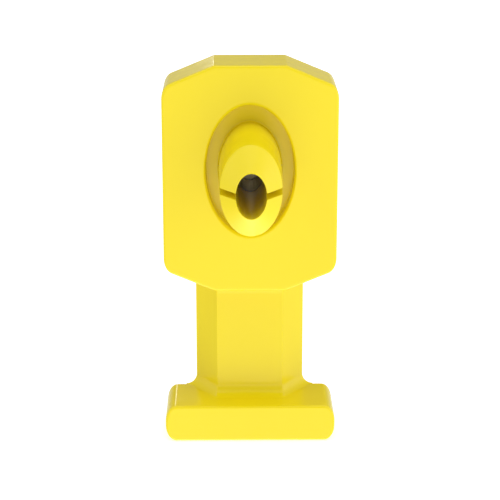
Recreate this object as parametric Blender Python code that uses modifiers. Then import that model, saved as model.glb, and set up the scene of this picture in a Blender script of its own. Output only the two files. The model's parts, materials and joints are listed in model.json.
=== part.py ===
"""Twist wire connector: a T-foot key whose head carries two sprung, hinged wire jaws.

Metres, +Z up.  The origin is the centre of the T-foot's underside, and the wire
nozzle points along -Y.  Every round form is an oval, two thirds as wide as it is
tall: it is drawn round in a "round plan" and narrowed by OVAL along X.
"""

import math

import bmesh
import bpy
from mathutils import Matrix, Vector

# ---------------------------------------------------------------- driving sizes
OVAL = 2 / 3                      # width of every round form over its height
GAP = 0.0003                      # clearance between neighbouring pieces

BODY_DEPTH = 0.0137               # foot, stem and head share one flat back
FRONT = -BODY_DEPTH / 2           # plane of the head's and the foot's front face
BACK = BODY_DEPTH / 2
CORNER_RADIUS = 0.0034            # rounded outline corners of head and foot
EDGE_FILLET = 0.0007              # small fillet round the moulded edges

FOOT_WIDTH = 0.0362
FOOT_HEIGHT = 0.0080

STEM_FRONT = FRONT + 0.0071       # the stem is set back from the front face
STEM_FACET_HALF = 0.00705         # half width of its flat front facet
STEM_BACK_HALF = 0.01165          # half width at its flat back
STEM_FILLET = 0.0024              # fillet between stem and foot
STEM_TOP = 0.0325
SEAM = 0.0003                     # joint between the stem and the head's collar
FLARE_RADIUS = 0.0031             # fillet by which the stem widens under the head
FLARE_TOP = 0.0335                # above this the collar runs straight up
COLLAR_TOP = 0.0365               # inside the head's floor
WASHER_SEAT = 0.0008              # how deep the seam washer is let into the collar

HEAD_WIDTH = 0.0360
HEAD_BOTTOM = 0.0339
HEAD_TOP = 0.0814
HEAD_FLAT_HALF = 0.0074           # half width of the flat top and bottom
SHOULDER_RISE = 0.0044            # height of the sloped shoulders
WALL = 0.0026                     # moulded side walls
FRONT_WALL = 0.0046
FLOOR = 0.0031                    # floor of the head, above its collar

COVER_THICKNESS = 0.0013
COVER_LEDGE = 0.0011              # ledge that the cover's rim rests on
COVER_STEP = 0.0009               # room for the seal between cover and ledge
SEAL_THICKNESS = 0.0004

WIRE_Z = 0.0596                   # height of the wire axis
POCKET_RADIUS = 0.01365           # oval pocket round the nozzle, half its height
POCKET_DEPTH = 0.00337
THROAT_RADIUS = 0.00997           # opening in the pocket's flat floor
RIM_FILLET = 0.00075

NOZZLE_ROOT_RADIUS = 0.00972
NOZZLE_END_RADIUS = 0.00925
NOZZLE_END = FRONT - 0.01596      # where the cone of the tip starts
TIP = FRONT - 0.02031
BORE_RADIUS = 0.00453
SLIT = 0.0013                     # slit that parts the two jaws

CONTACT_FRONT = FRONT + 0.0010
CONTACT_WALL = 0.0005
CONTACT_INNER_RADIUS = BORE_RADIUS

ROOT_FRONT = FRONT + 0.0055
ROOT_BACK = FRONT + 0.0106
ROOT_HALF_WIDTH = 0.0082
ROOT_REACH = 0.0122               # outer face of a jaw root from the wire axis
PIVOT_Y = FRONT + 0.0073
PIVOT_OFFSET = 0.0098             # pivot from the wire axis
PIN_RADIUS = 0.0009

YOKE_SHEET = 0.0009
SPRING_X = 0.0059
SPRING_Y = FRONT + 0.0083
SPRING_RADIUS = 0.00095           # to the middle of the wire
SPRING_WIRE = 0.00025
SPRING_POCKET_RADIUS = 0.0019     # wide enough for the swing of the roots
SPRING_POCKET_DEPTH = 0.0030
SPRING_TURNS = 5

SPINDLE_Y = FRONT + 0.0096
SPINDLE_RADIUS = 0.0014
SPINDLE_FOOT = 0.0140
SPINDLE_GROOVE_RADIUS = 0.0009
SPINDLE_END = 0.0018              # spindle's end above the underside of its clip
WAVE_THICKNESS = 0.0005
WAVE_RADIUS = 0.0021
STOP_THICKNESS = 0.0007
STOP_RADIUS = 0.0021
CLIP_THICKNESS = 0.0007
CLIP_RADIUS = 0.0024
CLIP_MOUTH = 0.0014
CROSS_PIN_Z = 0.0200
CROSS_PIN_RADIUS = 0.0007
STOP_REACH = 0.0026               # reach of the stop washer's tab
PEG_RADIUS = 0.00045
PEG_HEIGHT = 0.0018
PEG_CIRCLE = 0.0028
PEG_ANGLE = math.radians(155)     # pegs from the tab's rest direction
TAB_HALF_ANGLE = math.radians(50)

SCREW_HEAD_RADIUS = 0.0015
SCREW_RADIUS = 0.0008
SCREW_LENGTH = 0.0062
BOSS_RADIUS = 0.0021
SCREW_X = 0.0124
SCREW_Z_LOW = 0.0427
SCREW_Z_HIGH = 0.0731

ROUND_STEPS = 40                  # facets round the large ovals
SMALL_STEPS = 20                  # facets round pins and bores
CORNER_STEPS = 5
MERGE = 1e-6                      # points closer than this are one point
FLAT_ANGLE = math.radians(0.05)   # faces that meet at less than this are one face

# ---------------------------------------------------------------- derived sizes
COLLAR_BOTTOM = STEM_TOP + SEAM
CAVITY_FRONT = FRONT + FRONT_WALL
COVER_FRONT = BACK - COVER_THICKNESS
CAVITY_FLOOR = HEAD_BOTTOM + FLOOR
BORE_SEAT_RADIUS = CONTACT_INNER_RADIUS + CONTACT_WALL + GAP
INNER_CORNER = CORNER_RADIUS - WALL / 2
SEAT_INSET = WALL - COVER_LEDGE   # from the head's outline to the cover's seat
SEAT_FLOOR = CAVITY_FLOOR - COVER_LEDGE


# ---------------------------------------------------------------- scene set-up
def clear_scene():
    for item in list(bpy.data.objects):
        bpy.data.objects.remove(item, do_unlink=True)


def new_collection(name):
    group = bpy.data.collections.new(name)
    bpy.context.scene.collection.children.link(group)
    return group


def new_material(name, colour, roughness, metallic=0.0):
    material = bpy.data.materials.new(name)
    material.use_nodes = True
    shader = material.node_tree.nodes["Principled BSDF"]
    shader.inputs["Base Color"].default_value = (*colour, 1.0)
    shader.inputs["Roughness"].default_value = roughness
    shader.inputs["Metallic"].default_value = metallic
    material.diffuse_color = (*colour, 1.0)
    return material


def add_part(name, mesh, material):
    part = bpy.data.objects.new(name, mesh)
    mesh.materials.clear()
    mesh.materials.append(material)
    mesh.shade_smooth()
    mesh.set_sharp_from_angle(angle=math.radians(35))
    PARTS.objects.link(part)
    return part


def add_cutter(name, mesh):
    cutter = bpy.data.objects.new(name, mesh)
    cutter.hide_render = True
    cutter.display_type = "WIRE"
    CUTTERS.objects.link(cutter)
    return cutter


def combine(part, other, operation):
    step = part.modifiers.new(other.name, "BOOLEAN")
    step.operation = operation
    step.solver = "EXACT"
    step.object = other


def cut(part, *cutters):
    for cutter in cutters:
        combine(part, cutter, "DIFFERENCE")


def weld(parts):
    """Merge the near-coincident points that a chain of cuts can leave."""
    for part in parts:
        if part.modifiers:
            step = part.modifiers.new("weld", "WELD")
            step.merge_threshold = MERGE


def join(part, *additions):
    for addition in additions:
        combine(part, addition, "UNION")


# ---------------------------------------------------------------- outlines
def arc_points(centre, radius, start, sweep, steps):
    return [
        centre + Vector((math.cos(start + sweep * i / steps), math.sin(start + sweep * i / steps))) * radius
        for i in range(steps + 1)
    ]


def round_corners(corners, radii, steps=CORNER_STEPS):
    """Outline with its corners rounded in the round plan, narrowed to the oval one."""
    wide = [Vector((x / OVAL, y)) for x, y in corners]
    outline = []
    for i, (corner, radius) in enumerate(zip(wide, radii)):
        if radius == 0:
            outline.append(corner)
            continue
        before = (wide[i - 1] - corner).normalized()
        after = (wide[(i + 1) % len(wide)] - corner).normalized()
        half = before.angle(after) / 2
        centre = corner + (before + after).normalized() * radius / math.sin(half)
        first = corner + before * radius / math.tan(half) - centre
        last = corner + after * radius / math.tan(half) - centre
        start = math.atan2(first.y, first.x)
        sweep = math.remainder(math.atan2(last.y, last.x) - start, math.tau)
        outline += arc_points(centre, radius, start, sweep, steps)
    return [(p.x * OVAL, p.y) for p in outline]


def head_corners(inset=0.0, floor=HEAD_BOTTOM):
    half = HEAD_WIDTH / 2 - inset
    flat = HEAD_FLAT_HALF - inset / 2
    low = floor
    high = HEAD_TOP - inset
    return [
        (-flat, low), (flat, low), (half, low + SHOULDER_RISE), (half, high - SHOULDER_RISE),
        (flat, high), (-flat, high), (-half, high - SHOULDER_RISE), (-half, low + SHOULDER_RISE),
    ]


def head_outline(inset=0.0, floor=HEAD_BOTTOM, radius=CORNER_RADIUS):
    """Head outline with crisp folds at its flats and rounded side corners."""
    side = [0, 0, radius, radius]
    return round_corners(head_corners(inset, floor), side + side)


def stem_section(spread):
    """Plan of the stem, its front and chamfered sides spread outwards, its back flat."""
    front = Vector((STEM_FACET_HALF / OVAL, STEM_FRONT))
    back = Vector((STEM_BACK_HALF / OVAL, BACK))
    along = (back - front).normalized()
    outward = Vector((along.y, -along.x))
    side_turn = math.atan2(outward.y, outward.x) + math.pi / 2
    moved = front + outward * spread
    rear_x = moved.x + (BACK - moved.y) * along.x / along.y
    right = arc_points(front, max(spread, 1e-5), -math.pi / 2, side_turn, CORNER_STEPS)
    right.append(Vector((rear_x, BACK)))
    left = [Vector((-p.x, p.y)) for p in reversed(right)]
    return [(p.x * OVAL, p.y) for p in left + right]


def ring_at(height, spread):
    return [(x, y, height) for x, y in stem_section(spread)]


def flare_rings(low, high, steps):
    """Rings of the fillet under the head, from one height to another."""
    rings = []
    for i in range(steps + 1):
        height = low + (high - low) * i / steps
        rise = height - (HEAD_BOTTOM - FLARE_RADIUS)
        rings.append(ring_at(height, FLARE_RADIUS - math.sqrt(FLARE_RADIUS ** 2 - rise ** 2)))
    return rings


# ---------------------------------------------------------------- solids
def flat_mesh(name, outline, start, end, upright=True, fillet=0.0):
    """Solid of a flat outline: in XZ from start to end along Y, or in XY along Z."""
    curve = bpy.data.curves.new(name, "CURVE")
    curve.dimensions = "2D"
    curve.fill_mode = "BOTH"
    curve.extrude = (end - start) / 2 - fillet
    curve.bevel_depth = fillet
    curve.offset = -fillet
    curve.bevel_resolution = 1
    spline = curve.splines.new("POLY")
    spline.points.add(len(outline) - 1)
    for point, (x, y) in zip(spline.points, outline):
        point.co = (x, y, 0, 1)
    spline.use_cyclic_u = True
    guide = bpy.data.objects.new(name, curve)
    middle = (start + end) / 2
    if upright:
        guide.rotation_euler = (math.pi / 2, 0, 0)
        guide.location = (0, middle, 0)
    else:
        guide.location = (0, 0, middle)
    CUTTERS.objects.link(guide)
    return mesh_of(guide)


def mesh_of(guide):
    """Evaluated mesh of a helper object in world space, welded; the helper is removed."""
    bpy.context.view_layer.update()
    evaluated = guide.evaluated_get(bpy.context.evaluated_depsgraph_get())
    mesh = bpy.data.meshes.new_from_object(evaluated)
    mesh.transform(guide.matrix_world)
    data = bmesh.new()
    data.from_mesh(mesh)
    bmesh.ops.remove_doubles(data, verts=data.verts, dist=MERGE)
    bmesh.ops.dissolve_limit(data, angle_limit=FLAT_ANGLE, verts=data.verts, edges=data.edges)
    bmesh.ops.recalc_face_normals(data, faces=data.faces)
    data.to_mesh(mesh)
    data.free()
    bpy.data.objects.remove(guide, do_unlink=True)
    return mesh


def turned_mesh(name, profile, origin, closed=False, oval=OVAL, steps=ROUND_STEPS, upright=False):
    """Profile of (radius, distance) turned about the wire axis, or about Z if upright.

    Distance runs towards -Y along the wire axis, and up when the shape is upright.
    """
    mesh = bpy.data.meshes.new(name)
    count = len(profile)
    edges = [(i, i + 1) for i in range(count - 1)]
    if closed:
        edges.append((count - 1, 0))
    mesh.from_pydata([(radius, 0, height) for radius, height in profile], edges, [])
    guide = bpy.data.objects.new(name, mesh)
    turn = guide.modifiers.new("Turn", "SCREW")
    turn.axis = "Z"
    turn.steps = steps
    turn.render_steps = steps
    turn.use_merge_vertices = True
    turn.merge_threshold = MERGE
    guide.scale = (oval, 1, 1)
    guide.location = origin
    if not upright:
        guide.rotation_euler = (math.pi / 2, 0, 0)
    CUTTERS.objects.link(guide)
    return mesh_of(guide)


def box_mesh(name, low, high):
    mesh = bpy.data.meshes.new(name)
    data = bmesh.new()
    bmesh.ops.create_cube(data, size=1.0)
    for vertex in data.verts:
        vertex.co = [a + (b - a) * (c + 0.5) for a, b, c in zip(low, high, vertex.co)]
    data.to_mesh(mesh)
    data.free()
    return mesh


def rod_mesh(name, start, end, radius, steps=SMALL_STEPS):
    """Round rod between two points."""
    start, end = Vector(start), Vector(end)
    along = end - start
    mesh = bpy.data.meshes.new(name)
    data = bmesh.new()
    bmesh.ops.create_cone(
        data, cap_ends=True, segments=steps, radius1=radius, radius2=radius, depth=along.length
    )
    turn = along.to_track_quat("Z", "Y").to_matrix().to_4x4()
    bmesh.ops.transform(data, matrix=turn, verts=data.verts)
    bmesh.ops.translate(data, vec=(start + end) / 2, verts=data.verts)
    data.to_mesh(mesh)
    data.free()
    return mesh


def loft_mesh(name, rings):
    """Solid through rings of equally many points, closed by a face at each end."""
    mesh = bpy.data.meshes.new(name)
    data = bmesh.new()
    rows = [[data.verts.new(point) for point in ring] for ring in rings]
    count = len(rows[0])
    for low, high in zip(rows, rows[1:]):
        for i in range(count):
            j = (i + 1) % count
            data.faces.new((low[i], low[j], high[j], high[i]))
    data.faces.new(rows[0][::-1])
    data.faces.new(rows[-1])
    bmesh.ops.recalc_face_normals(data, faces=data.faces)
    data.to_mesh(mesh)
    data.free()
    return mesh


# ---------------------------------------------------------------- foot and stem
def make_twist_foot():
    half = FOOT_WIDTH / 2
    corners = [(-half, 0), (half, 0), (half, FOOT_HEIGHT), (-half, FOOT_HEIGHT)]
    outline = round_corners(corners, [CORNER_RADIUS] * 4)
    foot = add_part("twist_foot", flat_mesh("twist_foot", outline, FRONT, BACK, True, EDGE_FILLET), YELLOW)
    rings = [ring_at(FOOT_HEIGHT - EDGE_FILLET, STEM_FILLET)]
    for i in range(CORNER_STEPS + 1):
        angle = math.pi / 2 * i / CORNER_STEPS
        spread = STEM_FILLET * (1 - math.sin(angle))
        rings.append(ring_at(FOOT_HEIGHT + STEM_FILLET * (1 - math.cos(angle)), spread))
    rings += flare_rings(HEAD_BOTTOM - FLARE_RADIUS, STEM_TOP, CORNER_STEPS)
    stem = add_cutter("stem", loft_mesh("stem", rings))
    bore = rod_mesh(
        "spindle_bore", (0, SPINDLE_Y, SPINDLE_FOOT - GAP), (0, SPINDLE_Y, STEM_TOP + SEAM / 2),
        SPINDLE_RADIUS + GAP,
    )
    cross = rod_mesh(
        "cross_bore", (0, SPINDLE_Y - SPINDLE_RADIUS, CROSS_PIN_Z), (0, BACK + GAP, CROSS_PIN_Z),
        CROSS_PIN_RADIUS + GAP,
    )
    join(foot, stem)
    cut(foot, add_cutter("spindle_bore", bore), add_cutter("cross_bore", cross))
    return foot


# ---------------------------------------------------------------- head housing
def pocket_profile():
    """Pocket that opens forwards: throat, flat floor, upright wall and rounded rim."""
    centre = Vector((POCKET_RADIUS + RIM_FILLET, -RIM_FILLET))
    rim = arc_points(centre, RIM_FILLET, math.pi / 2, math.pi / 2, CORNER_STEPS)
    wall = [(p.x, p.y) for p in rim]
    below = -(FRONT_WALL + BODY_DEPTH / 8)
    above = BODY_DEPTH / 4
    lid = [(0, above), (centre.x, above)]
    floor = [(POCKET_RADIUS, -POCKET_DEPTH), (THROAT_RADIUS, -POCKET_DEPTH)]
    return lid + wall + floor + [(THROAT_RADIUS, below), (0, below)]


def screw_places():
    return [(x, z) for x in (-SCREW_X, SCREW_X) for z in (SCREW_Z_LOW, SCREW_Z_HIGH)]


def make_head_shell():
    outline = head_outline()
    shell = add_part("head_shell", flat_mesh("head_shell", outline, FRONT, BACK, True, EDGE_FILLET), YELLOW)
    collar = flare_rings(COLLAR_BOTTOM, FLARE_TOP, CORNER_STEPS - 2)
    collar.append([(x, y, COLLAR_TOP) for x, y, height in collar[-1]])
    inner = head_outline(WALL, CAVITY_FLOOR, INNER_CORNER)
    seat = head_outline(SEAT_INSET, SEAT_FLOOR, INNER_CORNER)
    pocket = turned_mesh("pocket", pocket_profile(), (0, FRONT, WIRE_Z))
    bore = rod_mesh(
        "floor_bore", (0, SPINDLE_Y, COLLAR_BOTTOM - SEAM), (0, SPINDLE_Y, CAVITY_FLOOR + GAP),
        SPINDLE_RADIUS + GAP,
    )
    washer_seat = rod_mesh(
        "washer_seat", (0, SPINDLE_Y, COLLAR_BOTTOM - SEAM),
        (0, SPINDLE_Y, COLLAR_BOTTOM + WASHER_SEAT), SPINDLE_RADIUS + 4 * GAP,
    )
    join(shell, add_cutter("collar", loft_mesh("collar", collar)))
    cut(
        shell,
        add_cutter("cavity", flat_mesh("cavity", inner, CAVITY_FRONT, BACK + GAP)),
        add_cutter("cover_seat", flat_mesh("cover_seat", seat, COVER_FRONT - COVER_STEP, BACK + GAP)),
        add_cutter("pocket", pocket),
        add_cutter("floor_bore", bore),
        add_cutter("washer_seat", washer_seat),
    )
    for i, (x, z) in enumerate(screw_places()):
        boss = rod_mesh(
            f"boss_{i}", (x, CAVITY_FRONT - FRONT_WALL / 4, z), (x, COVER_FRONT - GAP, z), BOSS_RADIUS
        )
        pilot = rod_mesh(
            f"pilot_{i}", (x, CAVITY_FRONT + GAP, z), (x, BACK, z), SCREW_RADIUS + GAP, SMALL_STEPS // 2
        )
        join(shell, add_cutter(f"boss_{i}", boss))
        cut(shell, add_cutter(f"pilot_{i}", pilot))
    for side in (-1, 1):
        x = math.cos(PEG_ANGLE) * PEG_CIRCLE
        y = SPINDLE_Y + side * math.sin(PEG_ANGLE) * PEG_CIRCLE
        peg = rod_mesh(
            f"peg_{side}", (x, y, CAVITY_FLOOR - GAP), (x, y, CAVITY_FLOOR + PEG_HEIGHT), PEG_RADIUS,
            SMALL_STEPS // 2,
        )
        join(shell, add_cutter(f"peg_{side}", peg))
    return shell


def place_rear(mesh, x, z):
    """Turn a shape that faces -Y to face the rear, with its datum on the back plane."""
    for vertex in mesh.vertices:
        along = vertex.co.y
        vertex.co = (x - vertex.co.x, BACK - along, z + vertex.co.z)


def make_rear_cover():
    outline = head_outline(SEAT_INSET + GAP, SEAT_FLOOR + GAP, INNER_CORNER)
    cover = add_part("rear_cover", flat_mesh("rear_cover", outline, COVER_FRONT, BACK), YELLOW)
    sink = SCREW_HEAD_RADIUS + GAP
    hole = SCREW_RADIUS + GAP
    profile = [
        (0, 2 * GAP), (sink + 2 * GAP, 2 * GAP), (sink, 0), (hole, SCREW_RADIUS - sink),
        (hole, -2 * COVER_THICKNESS), (0, -2 * COVER_THICKNESS),
    ]
    for i, (x, z) in enumerate(screw_places()):
        sunk = turned_mesh(f"screw_hole_{i}", profile, (0, 0, 0), oval=1, steps=SMALL_STEPS)
        place_rear(sunk, x, z)
        cut(cover, add_cutter(f"screw_hole_{i}", sunk))
    return cover


def make_cover_seal():
    """Flat rubber frame between the cover and its ledge."""
    front = COVER_FRONT - (COVER_STEP + SEAL_THICKNESS) / 2
    back = front + SEAL_THICKNESS
    outer = head_outline(SEAT_INSET + GAP, SEAT_FLOOR + GAP, INNER_CORNER)
    inner = head_outline(WALL + GAP / 2, CAVITY_FLOOR + GAP / 2, INNER_CORNER)
    seal = add_part("cover_seal", flat_mesh("cover_seal", outer, front, back), RUBBER)
    cut(seal, add_cutter("seal_window", flat_mesh("seal_window", inner, front - GAP, back + GAP)))
    return seal


def make_cover_screws():
    depth = SCREW_HEAD_RADIUS - SCREW_RADIUS
    head = SCREW_HEAD_RADIUS
    socket = SCREW_RADIUS / 2
    profile = [
        (0, -depth), (socket, -depth / 2), (socket, 0), (head - GAP / 2, 0), (head, -GAP / 2),
        (SCREW_RADIUS, -depth), (SCREW_RADIUS, socket - SCREW_LENGTH), (socket, -SCREW_LENGTH),
        (0, -SCREW_LENGTH),
    ]
    screws = []
    for i, (x, z) in enumerate(screw_places()):
        mesh = turned_mesh(f"cover_screw_{i + 1}", profile, (0, 0, 0), oval=1, steps=SMALL_STEPS)
        place_rear(mesh, x, z)
        screws.append(add_part(f"cover_screw_{i + 1}", mesh, STEEL))
    return screws


# ---------------------------------------------------------------- jaws
def nozzle_profile():
    """Drafted oval nozzle with a conical tip, from the tip back into the root block."""
    return [
        (0, FRONT - TIP), (BORE_RADIUS + GAP / 2, FRONT - TIP), (NOZZLE_END_RADIUS, FRONT - NOZZLE_END),
        (NOZZLE_ROOT_RADIUS, -POCKET_DEPTH), (NOZZLE_ROOT_RADIUS, FRONT - ROOT_FRONT - GAP),
        (0, FRONT - ROOT_FRONT - GAP),
    ]


def bore_profile():
    """Wire bore, wider behind its mouth where the contact liners lie."""
    seat = FRONT - CONTACT_FRONT
    past_tip = FRONT - TIP + BODY_DEPTH / 4
    past_root = FRONT - BACK
    return [
        (0, past_tip), (BORE_RADIUS, past_tip), (BORE_RADIUS, seat), (BORE_SEAT_RADIUS, seat),
        (BORE_SEAT_RADIUS, past_root), (0, past_root),
    ]


def half_space(name, side):
    """Everything beyond the slit's face on the far side of the wire axis."""
    far = 3 * ROOT_REACH
    edges = [WIRE_Z - side * far, WIRE_Z + side * SLIT / 2]
    block = box_mesh(f"{name}_half", (-far, -far, min(edges)), (far, far, max(edges)))
    return add_cutter(f"{name}_half", block)


def make_jaw(name, side):
    """One half of the nozzle with its root block, pivot bore and spring pockets."""
    jaw = add_part(name, turned_mesh(name, nozzle_profile(), (0, FRONT, WIRE_Z)), YELLOW)
    block = [WIRE_Z, WIRE_Z + side * ROOT_REACH]
    root = box_mesh(
        f"{name}_root", (-ROOT_HALF_WIDTH, ROOT_FRONT, min(block)), (ROOT_HALF_WIDTH, ROOT_BACK, max(block))
    )
    pivot_z = WIRE_Z + side * PIVOT_OFFSET
    reach = ROOT_HALF_WIDTH + GAP
    ends = [(-reach, PIVOT_Y, pivot_z), (reach, PIVOT_Y, pivot_z)]
    pivot = rod_mesh(f"{name}_pivot", *ends, PIN_RADIUS + GAP)
    join(jaw, add_cutter(f"{name}_root", root))
    cut(
        jaw,
        add_cutter(f"{name}_bore", turned_mesh(f"{name}_bore", bore_profile(), (0, FRONT, WIRE_Z))),
        half_space(name, side),
        add_cutter(f"{name}_pivot", pivot),
    )
    for end, x in (("left", -SPRING_X), ("right", SPRING_X)):
        pocket = rod_mesh(
            f"{name}_{end}_pocket", (x, SPRING_Y, WIRE_Z),
            (x, SPRING_Y, WIRE_Z + side * SPRING_POCKET_DEPTH), SPRING_POCKET_RADIUS, SMALL_STEPS // 2,
        )
        cut(jaw, add_cutter(f"{name}_{end}_pocket", pocket))
    return jaw


def make_contact(name, side):
    """Brass half liner of the wire bore."""
    front = FRONT - CONTACT_FRONT - GAP
    back = FRONT - ROOT_BACK
    outer = CONTACT_INNER_RADIUS + CONTACT_WALL
    profile = [(outer, front), (outer, back), (CONTACT_INNER_RADIUS, back), (CONTACT_INNER_RADIUS, front)]
    contact = add_part(name, turned_mesh(name, profile, (0, FRONT, WIRE_Z), closed=True, steps=28), BRASS)
    cut(contact, half_space(name, side))
    return contact


# ---------------------------------------------------------------- jaw mechanism
def make_pivot_pin(name, side):
    reach = ROOT_HALF_WIDTH + 2 * GAP + YOKE_SHEET + GAP
    z = WIRE_Z + side * PIVOT_OFFSET
    return add_part(name, rod_mesh(name, (-reach, PIVOT_Y, z), (reach, PIVOT_Y, z), PIN_RADIUS), STEEL)


def make_jaw_yoke():
    """Folded steel channel behind the jaws: a back plate and two cheeks for the pins."""
    inner = ROOT_HALF_WIDTH + 2 * GAP
    outer = inner + YOKE_SHEET
    plate_back = COVER_FRONT - GAP
    plate_front = plate_back - YOKE_SHEET
    front = CAVITY_FRONT + GAP
    outline = [
        (-outer, front), (-inner, front), (-inner, plate_front), (inner, plate_front),
        (inner, front), (outer, front), (outer, plate_back), (-outer, plate_back),
    ]
    mesh = flat_mesh("jaw_yoke", outline, WIRE_Z - ROOT_REACH, WIRE_Z + ROOT_REACH, upright=False)
    yoke = add_part("jaw_yoke", mesh, STEEL)
    for side in (-1, 1):
        z = WIRE_Z + side * PIVOT_OFFSET
        hole = rod_mesh(
            f"yoke_hole_{side}", (-2 * outer, PIVOT_Y, z), (2 * outer, PIVOT_Y, z), PIN_RADIUS + GAP
        )
        cut(yoke, add_cutter(f"yoke_hole_{side}", hole))
    return yoke


def make_jaw_spring(name, x):
    """Compression spring standing in the pockets of both jaw roots."""
    curve = bpy.data.curves.new(name, "CURVE")
    curve.dimensions = "3D"
    curve.bevel_depth = SPRING_WIRE
    curve.bevel_resolution = 1
    curve.use_fill_caps = True
    spline = curve.splines.new("POLY")
    per_turn = 12
    count = SPRING_TURNS * per_turn
    height = 2 * (SPRING_POCKET_DEPTH - GAP - SPRING_WIRE)
    spline.points.add(count)
    for i, point in enumerate(spline.points):
        angle = math.tau * i / per_turn
        z = WIRE_Z + height * (i / count - 0.5)
        point.co = (x + SPRING_RADIUS * math.cos(angle), SPRING_Y + SPRING_RADIUS * math.sin(angle), z, 1)
    guide = bpy.data.objects.new(name, curve)
    CUTTERS.objects.link(guide)
    return add_part(name, mesh_of(guide), STEEL)


# ---------------------------------------------------------------- turning joint
def spindle_stack():
    """Undersides inside the head, from its floor up: wave washer, stop washer, clip."""
    wave = CAVITY_FLOOR + GAP
    stop = wave + WAVE_THICKNESS + GAP
    clip = stop + STOP_THICKNESS + GAP
    return wave, stop, clip


def make_swivel_spindle():
    clip = spindle_stack()[2]
    top = clip + SPINDLE_END
    groove_top = clip + CLIP_THICKNESS + GAP
    groove_foot = clip - GAP / 3
    profile = [
        (0, top), (SPINDLE_RADIUS - GAP, top), (SPINDLE_RADIUS, top - GAP), (SPINDLE_RADIUS, groove_top),
        (SPINDLE_GROOVE_RADIUS, groove_top), (SPINDLE_GROOVE_RADIUS, groove_foot),
        (SPINDLE_RADIUS, groove_foot), (SPINDLE_RADIUS, SPINDLE_FOOT + GAP),
        (SPINDLE_RADIUS - GAP, SPINDLE_FOOT), (0, SPINDLE_FOOT),
    ]
    mesh = turned_mesh(
        "swivel_spindle", profile, (0, SPINDLE_Y, 0), oval=1, steps=SMALL_STEPS, upright=True
    )
    spindle = add_part("swivel_spindle", mesh, STEEL)
    reach = 2 * SPINDLE_RADIUS
    hole = rod_mesh(
        "spindle_hole", (0, SPINDLE_Y - reach, CROSS_PIN_Z), (0, SPINDLE_Y + reach, CROSS_PIN_Z),
        CROSS_PIN_RADIUS + GAP / 2,
    )
    cut(spindle, add_cutter("spindle_hole", hole))
    return spindle


def make_cross_pin():
    start = (0, SPINDLE_Y - SPINDLE_RADIUS + GAP, CROSS_PIN_Z)
    end = (0, BACK - GAP, CROSS_PIN_Z)
    return add_part("cross_pin", rod_mesh("cross_pin", start, end, CROSS_PIN_RADIUS), STEEL)


def ring_mesh(name, low, high, inner, outer):
    profile = [(outer, high), (outer, low), (inner, low), (inner, high)]
    return turned_mesh(
        name, profile, (0, SPINDLE_Y, 0), closed=True, oval=1, steps=SMALL_STEPS + 8, upright=True
    )


def make_seam_washer():
    """Low-friction washer in the seam, let into the collar."""
    low = STEM_TOP + GAP / 2
    high = COLLAR_BOTTOM + WASHER_SEAT - GAP / 2
    inner = SPINDLE_RADIUS + GAP
    return add_part("seam_washer", ring_mesh("seam_washer", low, high, inner, inner + 2.2 * GAP), DARK)


def make_wave_washer():
    low = spindle_stack()[0]
    inner = SPINDLE_RADIUS + GAP / 2
    ring = ring_mesh("wave_washer", low, low + WAVE_THICKNESS, inner, WAVE_RADIUS)
    return add_part("wave_washer", ring, STEEL)


def make_stop_washer():
    """Washer whose tab meets a peg of the head at each end of its turn."""
    low = spindle_stack()[1]
    inner = SPINDLE_RADIUS + GAP / 2
    ring = ring_mesh("stop_washer", low, low + STOP_THICKNESS, inner, STOP_RADIUS)
    washer = add_part("stop_washer", ring, STEEL)
    root = Vector((STOP_RADIUS - GAP, 0))
    tip = Vector((STOP_REACH, 0))
    half = Matrix.Rotation(TAB_HALF_ANGLE, 2)
    back = half.inverted()
    tab = [root, root @ half, tip @ half, tip, tip @ back, root @ back]
    outline = [(p.x, SPINDLE_Y + p.y) for p in tab]
    tab_mesh = flat_mesh(
        "stop_tab", outline, low + GAP / 6, low + STOP_THICKNESS - GAP / 6, upright=False
    )
    join(washer, add_cutter("stop_tab", tab_mesh))
    return washer


def make_retaining_clip():
    low = spindle_stack()[2]
    high = low + CLIP_THICKNESS
    inner = SPINDLE_GROOVE_RADIUS + GAP / 2
    clip = add_part("retaining_clip", ring_mesh("retaining_clip", low, high, inner, CLIP_RADIUS), STEEL)
    side = CLIP_MOUTH / 2
    mouth = box_mesh(
        "clip_mouth", (-side, SPINDLE_Y - 2 * CLIP_RADIUS, low - GAP), (side, SPINDLE_Y, high + GAP)
    )
    cut(clip, add_cutter("clip_mouth", mouth))
    return clip


# ---------------------------------------------------------------- assembly
def add_pivot(name, location, members):
    """Empty on a joint's axis that carries the pieces which move about it."""
    pivot = bpy.data.objects.new(name, None)
    pivot.location = location
    PARTS.objects.link(pivot)
    bpy.context.view_layer.update()
    for member in members:
        member.parent = pivot
        member.matrix_parent_inverse = pivot.matrix_world.inverted()
    return pivot


clear_scene()
PARTS = new_collection("twist_wire_connector")
CUTTERS = new_collection("cutters")
YELLOW = new_material("yellow_moulding", (0.90, 0.76, 0.04), 0.35)
STEEL = new_material("spring_steel", (0.62, 0.63, 0.65), 0.30, 1.0)
BRASS = new_material("contact_brass", (0.50, 0.42, 0.18), 0.40, 1.0)
DARK = new_material("seam_washer", (0.05, 0.05, 0.05), 0.55)
RUBBER = new_material("cover_seal", (0.03, 0.03, 0.03), 0.80)

make_twist_foot()
make_swivel_spindle()
make_cross_pin()
make_seam_washer()
make_wave_washer()
make_stop_washer()
make_retaining_clip()

head_parts = [make_head_shell(), make_rear_cover(), make_cover_seal(), *make_cover_screws()]
head_parts += [make_jaw_yoke()]
head_parts += [make_pivot_pin("upper_pin", 1), make_pivot_pin("lower_pin", -1)]
head_parts += [make_jaw_spring("left_jaw_spring", -SPRING_X), make_jaw_spring("right_jaw_spring", SPRING_X)]
upper_parts = [make_jaw("upper_jaw", 1), make_contact("upper_contact", 1)]
lower_parts = [make_jaw("lower_jaw", -1), make_contact("lower_contact", -1)]

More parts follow.
